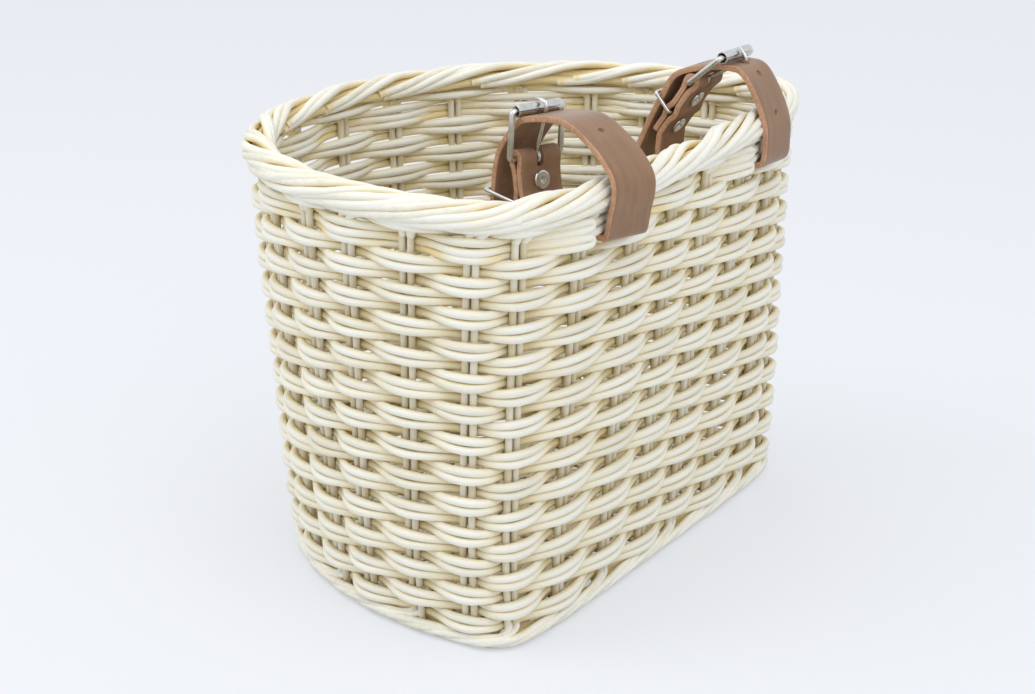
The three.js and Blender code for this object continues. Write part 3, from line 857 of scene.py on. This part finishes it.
# Each strap as it lies, drawn flat: outwards from the wall, then up from where it goes through. Share
# is its place round the wall, heel the bar in its fold, slope its angle under the roller, and holes
# are places on its free length. The leans are angles from the upright.
STRAPS = [
    {
        "name": "left",
        "yaw": 21,
        "share": between_stakes(0.5),
        "heel": Vector((-52, LOOP_TOP - 1.15)),
        "chape_lean": 9,
        "frame_lean": -4.1,
        "tongue_lean": -17.6,
        "slope": 26,
        "below": flat((-41, -14.5), (-32, -15.5), (-21, -8.5)),
        "corner": RIM_OUTER + 2.6,
        "loop": flat((12.4, 2.6), (14.2, 11), (16.5, 19.3), (16.1, 26.5), (7.9, 35.7))
        + flat((-6.8, 44.5), (-15.7, 47.8), (-22.7, 48.5)),
        "tail": flat((-64, 27), (-67, 17), (-68.5, 5), (-69.5, -8)),
        "holes": [0.545],
    },
    {
        "name": "right",
        "yaw": 5,
        "share": 1 - between_stakes(0.43),
        "heel": Vector((-31.7, LOOP_TOP + 11.4)),
        "chape_lean": -34.8,
        "frame_lean": -50.8,
        "tongue_lean": -64.3,
        "slope": 0,
        "below": flat((-50, -5), (-42, -12.5), (-30, -11.5), (-21, -6)),
        "corner": RIM_OUTER + 1,
        "loop": flat((11.4, 2.6), (11.9, 9.5), (11.9, 17.5), (9.8, 25.4))
        + flat((4.1, 36.8), (-1.6, 44.7), (-5.1, 46.9)),
        "tail": flat((-41, 40.5), (-48.5, 29), (-55.5, 16), (-61.5, 3), (-66, -8)),
        "holes": [0.47, 0.565],
    },
]


def way_to(line, start, direction):
    """How far along a direction a line is met, searched from its far end."""
    for a, b in zip(reversed(line[:-1]), reversed(line[1:])):
        a = a - start
        b = b - start
        cross_a = direction.x * a.y - direction.y * a.x
        cross_b = direction.x * b.y - direction.y * b.x
        if cross_a * cross_b > 0:
            continue
        meet = a.lerp(b, cross_a / (cross_a - cross_b)).dot(direction)
        if meet > 0:
            return meet
    raise ValueError("the line isn't met")


def even_line(line, step):
    """The same polyline with points at even distances, its corners slightly eased."""
    spaced = evenly(line, round(lengths_along(line)[-1] / step))
    eased = [(a + 2 * b + c) / 4 for a, b, c in zip(spaced, spaced[1:], spaced[2:])]
    return [spaced[0], *eased, spaced[-1]]


def rounded_loop(width, length, radius):
    """A closed outline of a wire frame: half widths to each side, from 0 to the length."""
    points = []
    corners = ((width - radius, radius, -90), (width - radius, length - radius, 0))
    corners += ((-width + radius, length - radius, 90), (-width + radius, radius, 180))
    for x, y, start in corners:
        for k in range(7):
            turn = math.radians(start + 15 * k)
            points.append((x + radius * math.cos(turn), y + radius * math.sin(turn)))
    straight = []
    for (x, y), (x2, y2) in zip(points, points[1:] + points[:1]):
        straight.append((x, y))
        if math.hypot(x2 - x, y2 - y) > 3:
            straight += [(x + (x2 - x) * part, y + (y2 - y) * part) for part in (0.25, 0.5, 0.75)]
    return straight


def modify(made, kind, **settings):
    modifier = made.modifiers.new(kind, kind)
    for key, value in settings.items():
        setattr(modifier, key, value)


def leather_band(line, stand, name, punches):
    """The strap: a row of edges drawn out along the line, given its thickness, eased and punched."""
    mesh = bmesh.new()
    along = mesh.verts.layers.float.new("along")
    across = mesh.verts.layers.float.new("across")
    columns = 8
    verts = []
    for k in range(columns + 1):
        width = STRAP_WIDTH * (k / columns - 0.5)
        vert = mesh.verts.new(Vector((width, line[0].x, line[0].y)))
        vert[across] = width * MM
        verts.append(vert)
    edges = [mesh.edges.new(pair) for pair in zip(verts, verts[1:])]
    way = 0
    for before, after in zip(line, line[1:]):
        way += (after - before).length
        drawn = bmesh.ops.extrude_edge_only(mesh, edges=edges)["geom"]
        new = [item for item in drawn if isinstance(item, bmesh.types.BMVert)]
        edges = [item for item in drawn if isinstance(item, bmesh.types.BMEdge)]
        bmesh.ops.translate(mesh, verts=new, vec=Vector((0, after.x - before.x, after.y - before.y)))
        for vert in new:
            vert[along] = way * MM
    layer = mesh.loops.layers.uv.new("UVMap")
    for face in mesh.faces:
        for loop in face.loops:
            loop[layer].uv = (loop.vert[along], loop.vert[across])
    bmesh.ops.recalc_face_normals(mesh, faces=mesh.faces)
    bmesh.ops.transform(mesh, matrix=stand @ Matrix.Scale(MM, 4), verts=mesh.verts)
    made = solid(mesh, name, leather, flesh, raw_edge)
    made.data.shade_smooth()
    shell = {"thickness": STRAP_THICKNESS * MM, "offset": 0, "use_even_offset": True}
    modify(made, "SOLIDIFY", **shell, material_offset=1, material_offset_rim=2)
    ease = {"width": STRAP_EASE * MM, "segments": 2, "material": 2}
    modify(made, "BEVEL", **ease, limit_method="ANGLE", angle_limit=math.radians(50))
    cut = {"operation": "DIFFERENCE", "solver": "EXACT", "material_mode": "TRANSFER"}
    for punch in punches:
        modify(made, "BOOLEAN", **cut, object=punch)
    graph = bpy.context.evaluated_depsgraph_get()
    finished = bpy.data.meshes.new_from_object(made.evaluated_get(graph), depsgraph=graph)
    made.modifiers.clear()
    made.data = finished
    finished.name = name
    finished.shade_smooth()
    finished.set_sharp_from_angle(angle=math.radians(42))
    for punch in punches:
        bpy.data.objects.remove(punch)
    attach(made, "basket")
    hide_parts(f"{name}")


def lathe(profile, steps, place, angle=360):
    """A turned shape from its half section, given as radius and way along the axis Z."""
    mesh = bmesh.new()
    closed = profile[0] == profile[-1]
    points = profile[:-1] if closed else profile
    verts = [mesh.verts.new(Vector((radius, 0, way)) * MM) for radius, way in points]
    edges = [mesh.edges.new(pair) for pair in zip(verts, verts[1:])]
    whole = angle == 360
    geometry = verts + edges
    if closed:
        geometry.append(mesh.edges.new((verts[-1], verts[0])))
        if not whole:
            geometry.append(mesh.faces.new(verts))
    swept = math.radians(angle)
    bmesh.ops.spin(mesh, geom=geometry, axis=(0, 0, 1), angle=swept, steps=steps, use_merge=whole)
    bmesh.ops.remove_doubles(mesh, verts=mesh.verts, dist=1e-7)
    bmesh.ops.recalc_face_normals(mesh, faces=mesh.faces)
    bmesh.ops.transform(mesh, matrix=place, verts=mesh.verts)
    return mesh


# A cap rivet's half section, as radius and way along.
RIVET_SHAPE = [
    (0, 3.25), (1.05, 3.25), (1.25, 3.45), (1.35, 4.15), (1.55, 4.42), (1.9, 4.5), (2.5, 4.38),
    (3.2, 4.42), (3.85, 4.5), (4.35, 4.3), (4.65, 3.9), (4.7, 3.55), (4.5, 3.42), (1.8, 3.42),
    (1.8, -3.42), (4.5, -3.42), (4.7, -3.6), (4.5, -4.05), (3.7, -4.45), (2.2, -4.62), (0, -4.65),
]


class Strap:
    """A strap with its buckle, keeper and rivets, worked out on its own drawing."""

    def __init__(self, plan):
        self.plan = plan
        self.name = plan["name"]
        foot = wall_centre(plan["share"], STRAP_HEIGHT)
        place = Matrix.Translation(Vector((foot.x, foot.y, STRAP_HEIGHT)) * MM)
        self.stand = place @ Matrix.Rotation(-math.radians(plan["yaw"]), 4, "Z")
        self.heel = plan["heel"]
        self.down = turned(Vector((0, -1)), plan["chape_lean"])
        self.across = Vector((-self.down.y, self.down.x))
        self.frame_way = turned(Vector((0, 1)), plan["frame_lean"])
        self.tongue_way = turned(Vector((0, 1)), plan["tongue_lean"])
        self.roller = self.heel + self.frame_way * FRAME_LENGTH
        self.chape = self.chape_line()
        self.free = self.free_line()

    def beside(self, drop, offset=0):
        """A point down the chape from the heel bar, and off its middle."""
        return self.heel + self.down * drop + self.across * offset

    def spot(self, point, width=0):
        """A point of the drawing and off to its side, in the part's frame."""
        return self.stand @ (Vector((width, point.x, point.y)) * MM) / MM

    def at(self, point):
        return self.stand @ Matrix.Translation(Vector((0, point.x, point.y)) * MM)

    def aimed(self, centre, direction):
        """A place at a point of the drawing, whose axis Z points in the direction."""
        return self.at(centre) @ Vector((0, *direction)).to_track_quat("Z", "X").to_matrix().to_4x4()

    def metal(self, mesh, piece, body, node, sharp=60):
        """Makes a nickel piece under this strap's name, and hides the part it stands for."""
        settle(mesh, f"{self.name}_{piece}", nickel, body, [f"{self.name}_{node}"], sharp)

    def chape_line(self):
        """From the folded end up, round the heel bar and down again, with room for rivets and keeper."""
        layer = STRAP_THICKNESS / 2 + CLEARANCE / 2
        spread = FRAME_WIRE / 2 + CLEARANCE + STRAP_THICKNESS / 2
        swell = KEEPER_WIRE / 2 + CLEARANCE + STRAP_THICKNESS / 2
        level = RIVET_CAP / 2 + CLEARANCE
        layers = [(0, spread), (RIVET_DROPS[0] - level, layer), (RIVET_DROPS[0] + level, layer)]
        layers += [(KEEPER_DROP - KEEPER_WIRE * 0.65, swell), (KEEPER_DROP + KEEPER_WIRE * 0.65, swell)]
        layers += [(RIVET_DROPS[1] - level, layer), (CHAPE_LENGTH, layer)]
        folded = [self.beside(drop, -offset) for drop, offset in reversed(layers)]
        fold = [self.heel + turned(self.across, 180 * (13 - i) / 14) * spread for i in range(13)]
        main = [self.beside(drop, offset) for drop, offset in layers]
        return [*folded, *fold, *main]

    def free_line(self):
        """From the chape through the wall, round the loop and under the roller to the tail's end."""
        travel = turned(Vector((-1, 0)), self.plan["slope"])
        reach = ROLLER_DIAMETER / 2 + 2 * CLEARANCE + STRAP_THICKNESS / 2
        under = self.roller - Vector((travel.y, -travel.x)) * reach
        half = travel * ROLLER_DIAMETER / 2
        inside = (RIM_INNER - 2 * STRAP_THICKNESS, -STRAP_THICKNESS / 4)
        through = flat(inside, (RIM_INNER, 0), (0, 0), (self.plan["corner"], 0))
        points = [self.chape[-1], *self.plan["below"], *through, *self.plan["loop"]]
        points += [under - half, under + half, *self.plan["tail"]]
        return smooth_line(points, FREE_STEPS)

    def slot_punch(self):
        """The tool that cuts the slot in the fold, where the tongue's eye is."""
        wide, deep, top = (5, 14, 7)
        foot = TONGUE_EYE + TONGUE_WIRE / 2 + 2 * CLEARANCE
        mesh = bmesh.new()
        bmesh.ops.create_cube(mesh, size=1)
        bmesh.ops.scale(mesh, vec=Vector((wide, deep, top + foot)), verts=mesh.verts)
        bmesh.ops.translate(mesh, vec=Vector((0, 0, (top - foot) / 2)), verts=mesh.verts)
        ways = [(edge, (edge.verts[0].co - edge.verts[1].co).normalized()) for edge in mesh.edges]
        upright = [edge for edge, way in ways if abs(way.y) > 0.9]
        bmesh.ops.bevel(mesh, geom=upright, offset=2, affect="EDGES", segments=5, profile=0.5, material=-1)
        turn = Matrix.Rotation(math.radians(self.plan["chape_lean"]), 4, "X")
        shift = Matrix.Translation(Vector((0, self.heel.x, self.heel.y)))
        bmesh.ops.transform(mesh, matrix=self.stand @ Matrix.Scale(MM, 4) @ shift @ turn, verts=mesh.verts)
        return solid(mesh, "punch", raw_edge)

    def punch(self, centre, direction, diameter, length):
        """A round tool that cuts a hole in the leather, along the direction."""
        mesh = bmesh.new()
        sizes = {"radius1": diameter / 2 * MM, "radius2": diameter / 2 * MM, "depth": length * MM}
        bmesh.ops.create_cone(mesh, cap_ends=True, segments=24, **sizes)
        bmesh.ops.transform(mesh, matrix=self.aimed(centre, direction), verts=mesh.verts)
        return solid(mesh, "punch", raw_edge)

    def band(self):
        """The leather, with its slot, the tongue's hole, the rivets' holes and the spare ones."""
        crossing = self.heel + self.tongue_way * way_to(self.free, self.heel, self.tongue_way)
        punches = [self.slot_punch(), self.punch(crossing, self.tongue_way, TONGUE_HOLE, 21)]
        for drop in RIVET_DROPS:
            punches.append(self.punch(self.beside(drop), self.across, RIVET_HOLE, 15))
        for part in self.plan["holes"]:
            i = round(part * FREE_STEPS)
            along = (self.free[i + 1] - self.free[i - 1]).normalized()
            punches.append(self.punch(self.free[i], Vector((-along.y, along.x)), SPARE_HOLE, 9))
        line = even_line([*self.chape, *self.free[1:]], 1.25)
        leather_band(line, self.stand, f"{self.name}_strap", punches)

    def wire_loop(self, start, way, arm, length, corner):
        outline = rounded_loop(arm, length, corner)
        return [self.spot(start + way * along, width) for width, along in outline]

    def frame(self):
        arm = ROLLER_LENGTH / 2 + 2 * CLEARANCE + FRAME_WIRE / 2
        loop = self.wire_loop(self.heel, self.frame_way, arm, FRAME_LENGTH, FRAME_CORNER)
        bundle = Bundle(900)
        bundle.strand(loop, FRAME_WIRE, closed=True, sides=16)
        self.metal(bundle.mesh, "buckle_wire", f"{self.name}_buckle", "buckle_frame")

    def roller_tube(self):
        """A rolled tube with an open seam."""
        half = ROLLER_LENGTH / 2
        section = [(2.45, -half), (2.85, -half), (3.0, 0.15 - half), (3.0, half - 0.15), (2.85, half)]
        section += [(2.45, half), (2.35, half - 0.15), (2.35, 0.15 - half), (2.45, -half)]
        axis = Matrix.Rotation(math.radians(90), 4, "Y") @ Matrix.Rotation(math.radians(100), 4, "Z")
        rolled = lathe(section, 40, self.at(self.roller) @ axis, 354)
        self.metal(rolled, "roller_tube", f"{self.name}_buckle_roller", "roller", 40)

    def tongue(self):
        """An eye round the heel bar, and a straight shank whose end bends over the roller."""
        tip_radius = FRAME_LENGTH + ROLLER_DIAMETER / 2 + CLEARANCE + TONGUE_WIRE / 2
        tip_angle = math.degrees(TONGUE_TIP / tip_radius)
        straight = tip_radius - 2.6 - TONGUE_EYE
        shank = [self.heel + self.tongue_way * (TONGUE_EYE + straight * i / 8) for i in range(9)]
        for part in (0.14, 0.24, 0.36, 0.5, 0.66, 0.82, 1):
            shank.append(self.heel + turned(self.tongue_way, part * tip_angle) * tip_radius)
        eye = [self.spot(self.heel + turned(self.tongue_way, i * 15) * TONGUE_EYE) for i in range(24)]
        bundle = Bundle(901)
        bundle.strand(eye, TONGUE_WIRE, closed=True, sides=12)
        widths = [1] * (len(shank) - 3) + [0.96, 0.86, 0.62]
        bundle.strand([self.spot(point) for point in shank], TONGUE_WIRE, sides=12, widths=widths)
        self.metal(bundle.mesh, "tongue_pin", f"{self.name}_buckle_tongue", "tongue")

    def keeper(self):
        """A wire loop held in the chape, round the tail."""
        start = self.beside(KEEPER_DROP)
        way = turned(-self.across, -KEEPER_LIFT)
        end = way_to(self.free, start, way) + STRAP_THICKNESS / 2 + KEEPER_PLAY + KEEPER_WIRE / 2
        arm = STRAP_WIDTH / 2 + KEEPER_PLAY + KEEPER_WIRE / 2
        bundle = Bundle(902)
        bundle.strand(self.wire_loop(start, way, arm, end, KEEPER_CORNER), KEEPER_WIRE, closed=True, sides=14)
        self.metal(bundle.mesh, "keeper_wire", f"{self.name}_tail_keeper", "keeper")

    def rivets(self):
        for drop, which in zip(RIVET_DROPS, ("upper", "lower")):
            stud = lathe(RIVET_SHAPE, 36, self.aimed(self.beside(drop), self.across))
            self.metal(stud, f"rivet_{which}_cap", "basket", f"rivet_{which}", 50)


def camera():
    azimuth = math.radians(CAMERA_AZIMUTH)
    elevation = math.radians(CAMERA_ELEVATION)
    roll = math.radians(CAMERA_ROLL)
    level = math.cos(elevation)
    back = Vector((math.sin(azimuth) * level, -math.cos(azimuth) * level, math.sin(elevation)))
    right = Vector((math.cos(azimuth), math.sin(azimuth), 0))
    up = back.cross(right)
    cos = math.cos(roll)
    sin = math.sin(roll)
    right, up = right * cos + up * sin, up * cos - right * sin
    data = bpy.data.cameras.new("camera")
    data.sensor_width = SENSOR_WIDTH
    data.lens = CAMERA_LENS
    data.clip_start = 0.05
    data.clip_end = 50
    made = placed("camera", data)
    turn = Matrix((right, up, back)).transposed().to_4x4()
    made.matrix_world = Matrix.Translation((CAMERA_AIM + back * CAMERA_DISTANCE) * MM) @ turn
    bpy.context.scene.camera = made


# Lights: the name, the place and the size of each in metres, and its power.
SOFTBOXES = [
    ("key_softbox", (0.8, -1.0, 1.4), 1.2, 6.5),
    ("fill_softbox", (0.75, 1.2, 1.3), 1.3, 5.6),
    ("overhead_softbox", (0.5, 0.1, 1.7), 1.3, 4.8),
]


def studio():
    """A pale floor with a glow of its own, and soft light from all round and above."""
    finish = Finish("studio_floor")
    direct = finish.node("ShaderNodeBsdfDiffuse", {}, {"Color": (0.71, 0.725, 0.75, 1)}, "BSDF")
    glow = finish.node("ShaderNodeEmission", {}, {"Color": (0.92, 0.94, 0.985, 1), "Strength": 1}, "Emission")
    seen = finish.node("ShaderNodeLightPath", {}, {}, "Is Camera Ray")
    mixed = finish.node("ShaderNodeMixShader", {}, {"Fac": seen * 0.5}, "Shader")
    for place, shader in zip(mixed.socket.node.inputs[1:], (direct, glow)):
        finish.tree.links.new(shader.socket, place)
    finish.node_output(mixed)
    mesh = bmesh.new()
    bmesh.ops.create_grid(mesh, x_segments=1, y_segments=1, size=6)
    floor = solid(mesh, "studio_floor", finish.material)

    world = bpy.data.worlds.new("studio_air")
    world.use_nodes = True
    sky = world.node_tree.nodes["Background"]
    sky.inputs["Color"].default_value = (0.93, 0.96, 1.0, 1)
    sky.inputs["Strength"].default_value = 0.95
    bpy.context.scene.world = world

    for name, place, size, power in SOFTBOXES:
        light = bpy.data.lights.new(name, "AREA")
        light.shape = "SQUARE"
        light.size = size
        light.energy = power
        light.color = (1.0, 0.985, 0.96)
        lamp = placed(name, light)
        lamp.location = place
        lamp.rotation_euler = (Vector((0, 0, 0.1)) - Vector(place)).to_track_quat("-Z", "Y").to_euler()


bpy.context.scene.view_settings.view_transform = "Standard"
camera()
studio()
weave_rows()
top_rows()
stakes()
rolled_border()
foot_border()
woven_floor()
for strap in map(Strap, STRAPS):
    strap.band()
    strap.frame()
    strap.roller_tube()
    strap.tongue()
    strap.keeper()
    strap.rivets()
